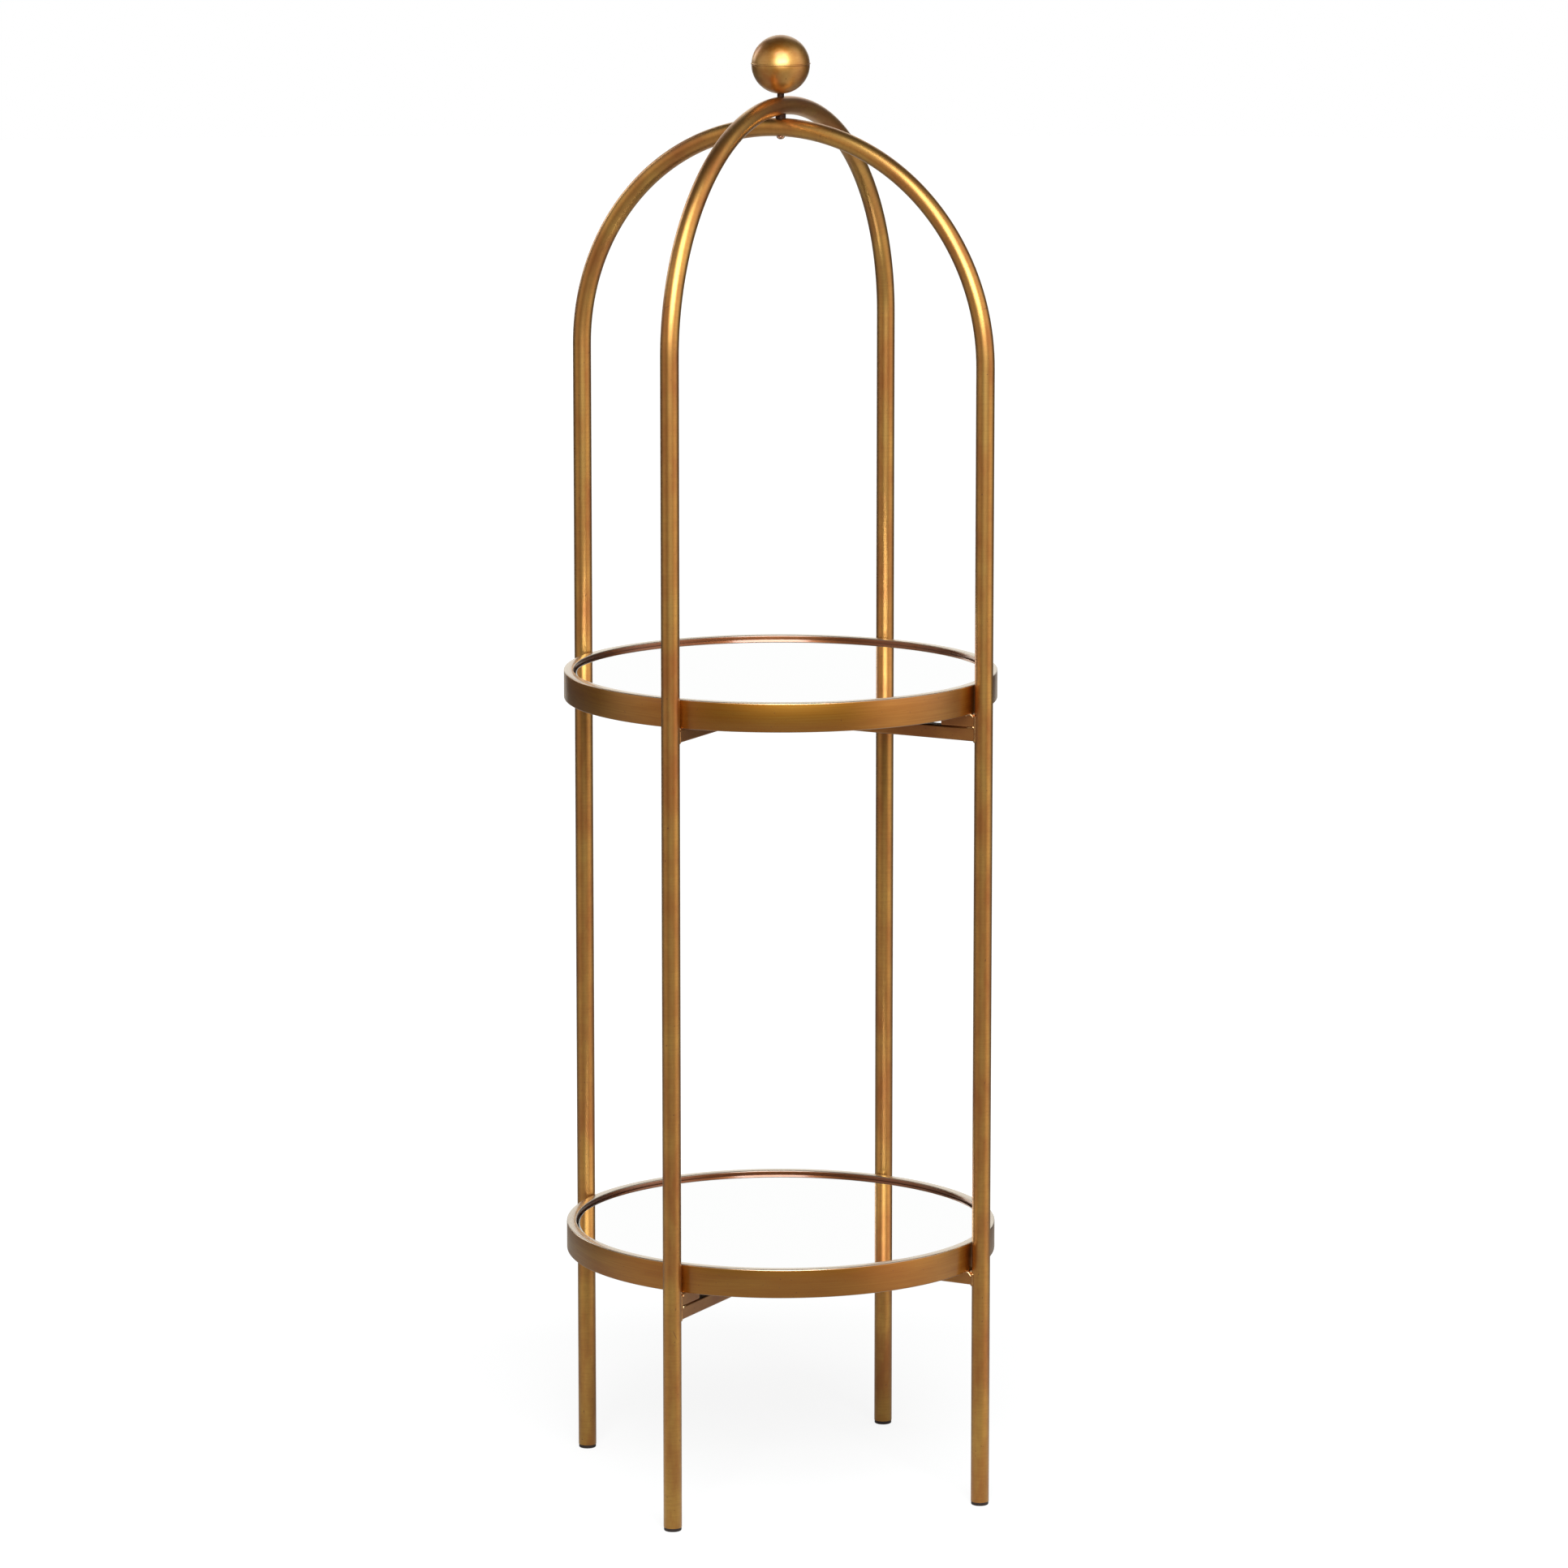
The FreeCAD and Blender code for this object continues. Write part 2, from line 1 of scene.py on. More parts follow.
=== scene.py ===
import json
from math import acos, asin, cos, pi, radians, sin
import bmesh
import bpy
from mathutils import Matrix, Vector

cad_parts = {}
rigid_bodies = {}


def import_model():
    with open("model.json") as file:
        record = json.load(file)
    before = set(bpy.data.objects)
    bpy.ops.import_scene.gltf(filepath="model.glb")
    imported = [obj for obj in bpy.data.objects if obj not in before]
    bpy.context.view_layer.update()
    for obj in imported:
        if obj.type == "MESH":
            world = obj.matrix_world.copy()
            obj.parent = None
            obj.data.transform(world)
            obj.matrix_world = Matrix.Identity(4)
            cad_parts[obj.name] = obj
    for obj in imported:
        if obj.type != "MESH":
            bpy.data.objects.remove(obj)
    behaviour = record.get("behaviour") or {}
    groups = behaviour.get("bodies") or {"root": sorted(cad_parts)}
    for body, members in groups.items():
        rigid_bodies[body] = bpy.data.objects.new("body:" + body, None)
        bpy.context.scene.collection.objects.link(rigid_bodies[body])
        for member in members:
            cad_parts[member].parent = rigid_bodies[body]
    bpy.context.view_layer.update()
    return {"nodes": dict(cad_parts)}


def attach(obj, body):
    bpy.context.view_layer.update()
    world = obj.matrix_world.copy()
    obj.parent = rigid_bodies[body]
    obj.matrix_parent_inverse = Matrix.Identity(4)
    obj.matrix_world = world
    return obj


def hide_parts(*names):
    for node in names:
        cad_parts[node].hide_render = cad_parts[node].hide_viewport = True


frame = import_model()
print("frame loaded,", len(frame["nodes"]), "nodes")


# helpers for editing meshes

mergeDistance = 0.000004                        # vertices closer than this are one
seedSize = 0.001                                # plane that is merged into the first vertex of a profile


def clearSelection():
    if bpy.context.object and bpy.context.object.mode != "OBJECT":
        bpy.ops.object.mode_set(mode="OBJECT")
    bpy.ops.object.select_all(action="DESELECT")


def startEditing():
    # opens the active mesh with all of it selected
    bpy.ops.object.mode_set(mode="EDIT")
    bpy.ops.mesh.select_mode(type="VERT")
    bpy.ops.mesh.select_all(action="SELECT")


def stopEditing():
    bpy.ops.object.mode_set(mode="OBJECT")


def deleteVertices(piece, unwanted):
    mesh = bmesh.from_edit_mesh(piece.data)
    for vertex in mesh.verts:
        vertex.select_set(unwanted(vertex.co))
    mesh.select_flush_mode()
    bmesh.update_edit_mesh(piece.data)
    bpy.ops.mesh.delete(type="VERT")


def closeMesh():
    # merges the seams that spin leaves, turns the faces outwards and goes back to object mode
    bpy.ops.mesh.select_all(action="SELECT")
    bpy.ops.mesh.remove_doubles(threshold=mergeDistance)
    bpy.ops.mesh.normals_make_consistent(inside=False)
    stopEditing()


def startPoint(place):
    # a mesh of one selected vertex, open for editing
    clearSelection()
    bpy.ops.mesh.primitive_plane_add(size=seedSize, location=place)
    piece = bpy.context.object
    bpy.ops.object.transform_apply()
    startEditing()
    bpy.ops.mesh.merge(type="CENTER")
    return piece


def startOutline(turned, size, place, corner, steps):
    # the edge of an upright rectangle with round corners, open for editing and selected
    clearSelection()
    bpy.ops.mesh.primitive_plane_add(size=1.0, rotation=turned)
    piece = bpy.context.object
    bpy.ops.object.transform_apply()
    piece.scale = size
    piece.location = place
    bpy.ops.object.transform_apply()
    startEditing()
    bpy.ops.mesh.bevel(offset=corner, segments=steps, affect="VERTICES")
    bpy.ops.mesh.select_all(action="SELECT")
    bpy.ops.mesh.delete(type="ONLY_FACE")
    bpy.ops.mesh.select_all(action="SELECT")
    return piece


def applyModifier(piece, kind, **settings):
    modifier = piece.modifiers.new(kind.title(), kind)
    for setting, value in settings.items():
        setattr(modifier, setting, value)
    bpy.context.view_layer.objects.active = piece
    bpy.ops.object.modifier_apply(modifier=modifier.name)


def finishPiece(piece, name, finish, smoothAngle):
    piece.name = piece.data.name = name
    bpy.ops.object.transform_apply()
    bpy.ops.object.shade_smooth_by_angle(angle=radians(smoothAngle))
    piece.data.materials.clear()
    piece.data.materials.append(finish)


# helpers for shader nodes

def feed(tree, socket, value):
    if isinstance(value, bpy.types.NodeSocket):
        tree.links.new(value, socket)
    else:
        socket.default_value = value


def calc(tree, operation, *values):
    node = tree.nodes.new("ShaderNodeMath")
    node.operation = operation
    for socket, value in zip(node.inputs, values):
        feed(tree, socket, value)
    return node.outputs[0]


def between(tree, value, low, high, newLow=0.0, newHigh=1.0, smooth=False):
    node = tree.nodes.new("ShaderNodeMapRange")
    node.interpolation_type = "SMOOTHSTEP" if smooth else "LINEAR"
    for socket, number in zip(node.inputs, (value, low, high, newLow, newHigh)):
        feed(tree, socket, number)
    return node.outputs[0]


def lengthOf(tree, x, y):
    return calc(tree, "SQRT", calc(tree, "ADD", calc(tree, "MULTIPLY", x, x), calc(tree, "MULTIPLY", y, y)))


def objectPlace(tree):
    return tree.nodes.new("ShaderNodeTexCoord").outputs["Object"]


def axesOf(tree, vector):
    node = tree.nodes.new("ShaderNodeSeparateXYZ")
    tree.links.new(vector, node.inputs[0])
    return node.outputs[0], node.outputs[1], node.outputs[2]


def stretched(tree, parts, factors):
    node = tree.nodes.new("ShaderNodeCombineXYZ")
    for socket, part, factor in zip(node.inputs, parts, factors):
        feed(tree, socket, calc(tree, "MULTIPLY", part, factor))
    return node.outputs[0]


def noiseOn(tree, place, scale, detail, roughness=0.5):
    node = tree.nodes.new("ShaderNodeTexNoise")
    for socket, value in (("Vector", place), ("Scale", scale), ("Detail", detail), ("Roughness", roughness)):
        feed(tree, node.inputs[socket], value)
    return node.outputs[0]


def mixColours(tree, amount, first, second):
    node = tree.nodes.new("ShaderNodeMix")
    node.data_type = "RGBA"
    feed(tree, node.inputs[0], amount)
    feed(tree, node.inputs[6], first)
    feed(tree, node.inputs[7], second)
    return node.outputs[2]


def bumpFrom(tree, height, distance):
    node = tree.nodes.new("ShaderNodeBump")
    node.inputs["Distance"].default_value = distance
    tree.links.new(height, node.inputs["Height"])
    return node.outputs[0]


def newMaterial(name, **fixed):
    material = bpy.data.materials.new(name)
    material.use_nodes = True
    tree = material.node_tree
    shader = tree.nodes["Principled BSDF"]
    for socket, value in fixed.items():
        shader.inputs[socket.replace("_", " ")].default_value = value
    return material, tree, shader


# the photograph's viewpoint

cameraSetup = {
    "place": (2.8727, -5.3631, 1.7228), "turn": (79.814, 0.0, 28.148),
    "lens": 161.04, "sensor": 36.0, "clipEnd": 60.0,
}

cameraData = bpy.data.cameras.new("photoCamera")
cameraData.lens = cameraSetup["lens"]
cameraData.sensor_width = cameraSetup["sensor"]
cameraData.clip_end = cameraSetup["clipEnd"]
camera = bpy.data.objects.new("photoCamera", cameraData)
camera.location = cameraSetup["place"]
camera.rotation_euler = [radians(angle) for angle in cameraSetup["turn"]]
bpy.context.scene.collection.objects.link(camera)
bpy.context.scene.camera = camera
bpy.context.scene.view_settings.view_transform = "Standard"
print("camera placed")


# studio: world, floor and lamps

studio = {
    # azimuths start at the camera's side and go round to its right, all angles in degrees
    "plain": 0.45,                              # level of the world for diffuse light
    "tint": (1.0, 0.62, 0.40, 1.0),             # warm paper and walls in front, as the metal sees them
    "behind": (1.0, 0.95, 0.86, 1.0), "behindFrom": 20, "behindTo": 95,
    "horizon": 0.08, "overhead": 0.05,          # level seen by metal near the horizon and overhead
    "overheadFrom": 22, "overheadTo": 60,
    "patches": (                                # azimuth, elevation, half sizes, edge, level
        (72, 6, 26, 45, 32, 1.32),
        (-72, 4, 26, 36, 32, 0.68),
        (-135, 16, 8, 13, 6, 3.0),
        (180, 12, 22, 30, 12, 1.0),
    ),
    "mirrorDepth": 2.5,                         # the world is plain white in a mirror up to this ray depth
    "farFloor": 0.04,                           # level of the distant floor as metal sees it
    "farFrom": 0.2, "farTo": 6.0, "farPower": 0.36,
    "floorPatches": (                           # azimuth, half size, edge, level
        (72, 26, 32, 0.9), (-72, 26, 32, 0.4), (180, 22, 12, 0.5),
    ),
}
side = radians(cameraSetup["turn"][2])          # from -Y towards +X, the side that faces the camera
white = (1.0, 1.0, 1.0, 1.0)


def seenFromFront(tree, x, y):
    # the same place measured to the camera's right, and towards the camera
    rightward = calc(tree, "MULTIPLY_ADD", x, cos(side), calc(tree, "MULTIPLY", y, sin(side)))
    towards = calc(tree, "MULTIPLY_ADD", x, sin(side), calc(tree, "MULTIPLY", y, -cos(side)))
    return rightward, towards


def nearAngle(tree, angle, middle, halfSize, edge):
    off = calc(tree, "ABSOLUTE", calc(tree, "WRAP", calc(tree, "SUBTRACT", angle, radians(middle)), pi, -pi))
    return between(tree, off, radians(halfSize - edge / 2), radians(halfSize + edge / 2), 1.0, 0.0, True)


def paperTint(tree, angle):
    behind = between(tree, calc(tree, "ABSOLUTE", angle),
                     radians(studio["behindFrom"]), radians(studio["behindTo"]))
    return mixColours(tree, behind, studio["tint"], studio["behind"])


def makeWorld():
    world = bpy.data.worlds.new("studioWorld")
    bpy.context.scene.world = world
    world.use_nodes = True
    tree = world.node_tree
    x, y, z = axesOf(tree, tree.nodes.new("ShaderNodeTexCoord").outputs["Generated"])
    azimuth = calc(tree, "ARCTAN2", *seenFromFront(tree, x, y))
    elevation = calc(tree, "ARCSINE", z)
    level = between(tree, elevation, radians(studio["overheadFrom"]), radians(studio["overheadTo"]),
                    studio["horizon"], studio["overhead"], True)
    for turn, rise, halfWidth, halfHeight, edge, strength in studio["patches"]:
        patch = calc(tree, "MULTIPLY", nearAngle(tree, azimuth, turn, halfWidth, edge),
                     nearAngle(tree, elevation, rise, halfHeight, edge))
        level = calc(tree, "MULTIPLY_ADD", patch, strength, level)
    rays = tree.nodes.new("ShaderNodeLightPath").outputs
    inMirror = calc(tree, "MULTIPLY", rays["Is Singular Ray"],
                    calc(tree, "LESS_THAN", rays["Ray Depth"], studio["mirrorDepth"]))
    plainWhite = calc(tree, "MAXIMUM", calc(tree, "MAXIMUM", rays["Is Camera Ray"], inMirror),
                      rays["Is Transmission Ray"])
    seen = calc(tree, "MULTIPLY_ADD", rays["Is Diffuse Ray"], studio["plain"],
                calc(tree, "MULTIPLY", level, rays["Is Glossy Ray"]))
    background = tree.nodes["Background"]
    tree.links.new(between(tree, plainWhite, 0.0, 1.0, seen, 1.0), background.inputs["Strength"])
    tinted = calc(tree, "SUBTRACT", rays["Is Glossy Ray"], inMirror)
    tree.links.new(mixColours(tree, tinted, white, paperTint(tree, azimuth)), background.inputs["Color"])


makeWorld()

floorSetup = {
    "radius": 14.0, "edges": 96, "paper": 0.20, "metalPaper": 0.55,
    "shown": 0.84, "fadeFrom": 0.5, "fadeTo": 1.1,
    "cameraDepth": 0.5,                         # the first ray's depth is below this
}


def floorPaper():
    # white for the camera; for metal, paper near the unit and a dim lit floor farther out; clear from below
    material, tree, shader = newMaterial("floorPaper", Roughness=1.0, Specular_IOR_Level=0.0)
    x, y = axesOf(tree, objectPlace(tree))[:2]
    azimuth = calc(tree, "ARCTAN2", *seenFromFront(tree, x, y))
    distance = lengthOf(tree, x, y)
    rays = tree.nodes.new("ShaderNodeLightPath").outputs
    nearTone = (floorSetup["paper"],) * 3 + (1.0,)
    warmTone = tuple(floorSetup["metalPaper"] * channel for channel in studio["behind"][:3]) + (1.0,)
    tree.links.new(mixColours(tree, rays["Is Glossy Ray"], nearTone, warmTone), shader.inputs["Base Color"])

    glow = tree.nodes.new("ShaderNodeEmission")
    far = between(tree, distance, floorSetup["fadeFrom"], floorSetup["fadeTo"], 0.0, 1.0, True)
    onlyCamera = calc(tree, "MAXIMUM", rays["Is Camera Ray"],
                      calc(tree, "LESS_THAN", rays["Ray Depth"], floorSetup["cameraDepth"]))
    shown = between(tree, far, 0.0, 1.0, floorSetup["shown"], 1.0)
    tree.links.new(calc(tree, "MULTIPLY", onlyCamera, shown), glow.inputs["Strength"])

    metalGlow = tree.nodes.new("ShaderNodeEmission")
    level = studio["farFloor"]
    for turn, halfSize, edge, strength in studio["floorPatches"]:
        level = calc(tree, "MULTIPLY_ADD", nearAngle(tree, azimuth, turn, halfSize, edge), strength, level)
    tree.links.new(level, metalGlow.inputs["Strength"])
    tree.links.new(paperTint(tree, azimuth), metalGlow.inputs["Color"])

    lit = tree.nodes.new("ShaderNodeAddShader")
    tree.links.new(shader.outputs[0], lit.inputs[0])
    tree.links.new(glow.outputs[0], lit.inputs[1])
    above = tree.nodes.new("ShaderNodeMixShader")
    beyond = between(tree, distance, studio["farFrom"], studio["farTo"])
    beyond = calc(tree, "POWER", beyond, studio["farPower"])
    tree.links.new(calc(tree, "MULTIPLY", rays["Is Glossy Ray"], beyond), above.inputs[0])
    tree.links.new(lit.outputs[0], above.inputs[1])
    tree.links.new(metalGlow.outputs[0], above.inputs[2])
    under = tree.nodes.new("ShaderNodeMixShader")
    tree.links.new(tree.nodes.new("ShaderNodeNewGeometry").outputs["Backfacing"], under.inputs[0])
    tree.links.new(above.outputs[0], under.inputs[1])
    tree.links.new(tree.nodes.new("ShaderNodeBsdfTransparent").outputs[0], under.inputs[2])
    tree.links.new(under.outputs[0], tree.nodes["Material Output"].inputs["Surface"])
    return material


clearSelection()
bpy.ops.mesh.primitive_circle_add(vertices=floorSetup["edges"], radius=floorSetup["radius"], fill_type="NGON")
floor = bpy.context.object
floor.name = "studioFloor"
floor.data.materials.append(floorPaper())

lampSetup = {"aim": (0.0, 0.0, 0.75), "colour": (0.96, 1.0, 1.0)}
lamps = {                                       # azimuth from the camera side, height, distance, size, watts
    "highBox": (3, 3.4, 2.6, 2.6, 1.7, 78.0),
    "lowBox": (6, 2.0, 2.9, 2.4, 0.8, 88.0),
}

for name, (turn, height, distance, width, tall, watts) in lamps.items():
    lampData = bpy.data.lights.new(name, "AREA")
    lampData.shape = "RECTANGLE"
    lampData.size, lampData.size_y, lampData.energy = width, tall, watts
    lampData.color = lampSetup["colour"]
    lamp = bpy.data.objects.new(name, lampData)
    angle = side + radians(turn)
    lamp.location = (sin(angle) * distance, -cos(angle) * distance, height)
    aim = Vector(lampSetup["aim"]) - lamp.location
    lamp.rotation_euler = aim.to_track_quat("-Z", "Y").to_euler()
    lamp.visible_camera = False
    bpy.context.scene.collection.objects.link(lamp)
print("studio lit")


# finishes: antique brass

# patina and grain are noise scales along, across and through the piece; the bump is in metres
brassTones = {
    "dark": (0.43, 0.150, 0.009, 1.0), "light": (0.62, 0.335, 0.050, 1.0),
    "streak": (0.36, 0.128, 0.010, 1.0), "shadow": (0.22, 0.062, 0.008, 1.0),
    "streakShare": 0.25, "gloss": 0.38, "glossChange": 0.05,
    "coat": 1.0, "coatGloss": 0.36, "coatIndex": 1.62,
    "patina": (22, 60, 60), "grain": (700, 60, 60), "grainBump": 0.000006,
}
# in the band, the shadow tone is painted shade on the rim's inner wall as well as the colour of dark flecks
bandTones = dict(
    brassTones, dark=(0.39, 0.145, 0.013, 1.0), light=(0.53, 0.255, 0.038, 1.0),
    # the pale grey tone is painted highlight along the rim's top face and bottom corner
    shadow=(0.18, 0.058, 0.024, 1.0), paintedHighlight=(0.58, 0.51, 0.43, 1.0),
    streakShare=0.5, coat=0.8, coatGloss=0.16, coatIndex=1.6,
    patina=(9, 9, 60), grain=(14, 14, 1100), grainBump=0.00002)
ballTones = dict(
    brassTones, dark=(0.42, 0.145, 0.012, 1.0), light=(0.62, 0.36, 0.095, 1.0), streakShare=0.15, gloss=0.44,
    coatGloss=0.27, coatIndex=1.5, patina=(50, 50, 70), grain=(60, 60, 900))
# the bars and tabs take a darker copy of the brass: painted shade under the trays
barTonesPaintedShade = dict(
    brassTones, dark=(0.34, 0.105, 0.008, 1.0), light=(0.48, 0.205, 0.030, 1.0), gloss=0.42,
    patina=(25, 60, 60), grain=(20, 900, 900), grainBump=0.00002)
weldTones = dict(
    brassTones, dark=(0.40, 0.16, 0.03, 1.0), light=(0.66, 0.37, 0.12, 1.0), gloss=0.32,
    patina=(300, 300, 300), grain=(900, 900, 900), grainBump=0.00004)
# the beads' pale tone is the weld's brighter ground metal and partly painted highlight for its glints
beadAndGlintTones = dict(
    weldTones, dark=(0.62, 0.36, 0.14, 1.0), light=(0.90, 0.68, 0.40, 1.0), streakShare=0.1, gloss=0.3,
    grainBump=0.00002)
patinaNoise = {
    "cloudDetail": 4.0, "cloudRoughness": 0.55, "cloudFrom": 0.33, "cloudTo": 0.67,
    "fineDetail": 3.0, "fineRoughness": 0.6, "fineFrom": 0.35, "fineTo": 0.65,
    "fleckScale": (420, 420, 420), "fleckDetail": 1.0, "fleckFrom": 0.74, "fleckTo": 0.80, "fleckShare": 0.8,
    "glossFrom": 0.3, "glossTo": 0.7,
}


def antiqueBrass(name, coordinates, tones, marksAndPaintedShade=None, paintedHighlight=None):
    # coordinates(tree) gives the place along, across and through the piece
    noise = patinaNoise
    material, tree, shader = newMaterial(name, Metallic=1.0, Coat_Weight=tones["coat"],
                                         Coat_Roughness=tones["coatGloss"], Coat_IOR=tones["coatIndex"])
    parts = coordinates(tree)
    cloud = noiseOn(tree, stretched(tree, parts, tones["patina"]), 1.0,
                    noise["cloudDetail"], noise["cloudRoughness"])
    fine = noiseOn(tree, stretched(tree, parts, tones["grain"]), 1.0,
                   noise["fineDetail"], noise["fineRoughness"])
    fleck = noiseOn(tree, stretched(tree, parts, noise["fleckScale"]), 1.0, noise["fleckDetail"])
    clouded = between(tree, cloud, noise["cloudFrom"], noise["cloudTo"])
    streaked = between(tree, fine, noise["fineFrom"], noise["fineTo"], 0.0, tones["streakShare"])
    flecked = between(tree, fleck, noise["fleckFrom"], noise["fleckTo"], 0.0, noise["fleckShare"])
    tone = mixColours(tree, clouded, tones["dark"], tones["light"])
    tone = mixColours(tree, streaked, tone, tones["streak"])
    tone = mixColours(tree, flecked, tone, tones["shadow"])
    # dark scuff marks on the hoops; painted shade on the rim's inner wall
    if marksAndPaintedShade:
        tone = mixColours(tree, marksAndPaintedShade(tree), tone, tones["shadow"])
    # painted highlight: a pale tone on the rims' top face and bottom corner
    if paintedHighlight:
        tone = mixColours(tree, paintedHighlight(tree), tone, tones["paintedHighlight"])
    tree.links.new(tone, shader.inputs["Base Color"])
    low, change = tones["gloss"], tones["glossChange"]
    cloudGloss = between(tree, cloud, noise["glossFrom"], noise["glossTo"], low, low - change)
    tree.links.new(calc(tree, "MULTIPLY_ADD", fine, change, cloudGloss), shader.inputs["Roughness"])
    tree.links.new(bumpFrom(tree, fine, tones["grainBump"]), shader.inputs["Normal"])
    return material


def plainPlace(order="xyz"):
    def coordinates(tree):
        parts = dict(zip("xyz", axesOf(tree, objectPlace(tree))))
        return tuple(parts[letter] for letter in order)
    return coordinates


hoopShape = {
    "legCentre": 0.1995, "legEnd": 0.003, "radius": 0.008, "wall": 0.0012,
    "ring": 64, "legSteps": 10, "archSteps": 96, "smooth": 35,
    "endBevel": 0.0003, "endSteps": 2, "endAngle": 60,
    "archHeight": {"hoop_tall": 1.0271, "hoop_low": 1.0086},
    "turn": {"hoop_tall": -90.0, "hoop_low": 0.0},
}
# small dark marks on the camera's side of a leg: across, height, lean, half length, half width
scuffMarks = {
    "hoop_tall": (
        (0.0025, 0.1770, -24, 0.0052, 0.0004), (0.0033, 0.2000, 5, 0.0014, 0.0005),
        (0.0022, 0.1706, 0, 0.0007, 0.0006), (-0.0014, 1.0715, 60, 0.0034, 0.0004),
    ),
    "hoop_low": (
        (0.0011, 0.1896, 0, 0.0008, 0.0006), (0.0011, 0.1683, 10, 0.0010, 0.0005),
        (-0.0004, 1.0610, 70, 0.0020, 0.0005),
    ),
}
# how much of each half size is fully dark, and how dark
scuffEdge = {"long": 0.5, "wide": 0.3, "share": 0.75}


def alongTube(node):
    # straightens the hoop: distance along its line, then the place in its cross section
    def coordinates(tree):
        x, y, z = axesOf(tree, objectPlace(tree))
        across, depth = (y, x) if node == "hoop_tall" else (x, y)
        archHeight = hoopShape["archHeight"][node]
        above = calc(tree, "MAXIMUM", calc(tree, "SUBTRACT", z, archHeight), 0.0)
        below = calc(tree, "MAXIMUM", calc(tree, "SUBTRACT", archHeight, z), 0.0)
        bend = calc(tree, "MULTIPLY", calc(tree, "ARCTAN2", above, across), hoopShape["legCentre"])
        leg = calc(tree, "MULTIPLY", below, calc(tree, "SIGN", across))
        off = calc(tree, "SUBTRACT", lengthOf(tree, across, above), hoopShape["legCentre"])
        return calc(tree, "SUBTRACT", bend, leg), off, depth
    return coordinates


def scuffed(node):
    # the marks on the hoop's near leg, front or right
    legX, legY = (0.0, -hoopShape["legCentre"]) if node == "hoop_tall" else (hoopShape["legCentre"], 0.0)

    def mask(tree):
        x, y, z = axesOf(tree, objectPlace(tree))
        offX, offY = calc(tree, "SUBTRACT", x, legX), calc(tree, "SUBTRACT", y, legY)
        across, towards = seenFromFront(tree, offX, offY)
        total = 0.0
        for middle, height, lean, halfLong, halfWide in scuffMarks[node]:
            sine, cosine = sin(radians(lean)), cos(radians(lean))
            aside, above = calc(tree, "SUBTRACT", across, middle), calc(tree, "SUBTRACT", z, height)
            along = calc(tree, "MULTIPLY_ADD", aside, sine, calc(tree, "MULTIPLY", above, cosine))
            off = calc(tree, "MULTIPLY_ADD", aside, cosine, calc(tree, "MULTIPLY", above, -sine))
            mark = calc(tree, "MULTIPLY",
                        between(tree, calc(tree, "ABSOLUTE", along), halfLong, halfLong * scuffEdge["long"]),
                        between(tree, calc(tree, "ABSOLUTE", off), halfWide, halfWide * scuffEdge["wide"]))
            total = calc(tree, "MAXIMUM", total, mark)
        near = calc(tree, "MULTIPLY", calc(tree, "GREATER_THAN", towards, 0.0), scuffEdge["share"])
        return calc(tree, "MULTIPLY", total, near)
    return mask


rimShape = {
    "outside": 0.1905, "thick": 0.0085, "tall": 0.0254, "corner": 0.0012, "cornerSteps": 4, "wall": 0.0012,
    "steps": 192, "smooth": 40, "base": {"tray_rim_upper": 0.7081, "tray_rim_lower": 0.2116},
    # places of the painted shade inside and the painted highlight on the edges: from the inner wall, below
    # the top, above the underside
    "shadowFrom": 0.0003, "shadowTo": 0.0009, "shadow": 0.92,
    "topHighlightFrom": 0.0009, "topHighlightTo": 0.0004,
    "footHighlightFrom": 0.0007, "footHighlightTo": 0.0003, "footHighlight": 0.6,
}


def paintedShadeInsideWall(tree):
    # painted shade: the rim's inner wall darkens towards the shadow tone
    x, y = axesOf(tree, objectPlace(tree))[:2]
    inside = rimShape["outside"] - rimShape["thick"]
    return between(tree, lengthOf(tree, x, y), inside + rimShape["shadowFrom"],
                   inside + rimShape["shadowTo"], rimShape["shadow"], 0.0)


def rimEdgesPaintedHighlight(tree):
    # painted highlight on the top face and bottom corner of both rims at once: the upper one is taken down by
    # the distance between the trays
    z = axesOf(tree, objectPlace(tree))[2]
    base = rimShape["base"]["tray_rim_lower"]
    top = base + rimShape["tall"]
    height = calc(tree, "MODULO", z, rimShape["base"]["tray_rim_upper"] - base)
    topHighlight = between(tree, height, top - rimShape["topHighlightFrom"], top - rimShape["topHighlightTo"])
    footHighlight = between(tree, height, base + rimShape["footHighlightFrom"], base + rimShape["footHighlightTo"],
                       0.0, rimShape["footHighlight"])
    return calc(tree, "MAXIMUM", topHighlight, footHighlight)


tallBrass = antiqueBrass("hoopBrassTall", alongTube("hoop_tall"), brassTones, scuffed("hoop_tall"))
lowBrass = antiqueBrass("hoopBrassLow", alongTube("hoop_low"), brassTones, scuffed("hoop_low"))
rimBrass = antiqueBrass("rimBrass", plainPlace(), bandTones, paintedShadeInsideWall, rimEdgesPaintedHighlight)
ballBrass = antiqueBrass("ballBrass", plainPlace(), ballTones)
barBrassAcrossShaded = antiqueBrass("barBrassAcrossShaded", plainPlace("xyz"), barTonesPaintedShade)
barBrassDeepShaded = antiqueBrass("barBrassDeepShaded", plainPlace("yxz"), barTonesPaintedShade)
weldBrass = antiqueBrass("weldBrass", plainPlace(), weldTones)
beadBrassAndGlint = antiqueBrass("beadBrassAndGlint", plainPlace(), beadAndGlintTones)


# finishes: collars, screw, boss, boards, feet and mirrors

plainNoise = {
    "cloudDetail": 4.0, "fineDetail": 3.0, "roughness": 0.6, "fineScale": 7.0,
    "cloudFrom": 0.3, "cloudTo": 0.7, "fineFrom": 0.2, "fineTo": 0.8, "smoother": 0.06, "rougher": 0.08,
}


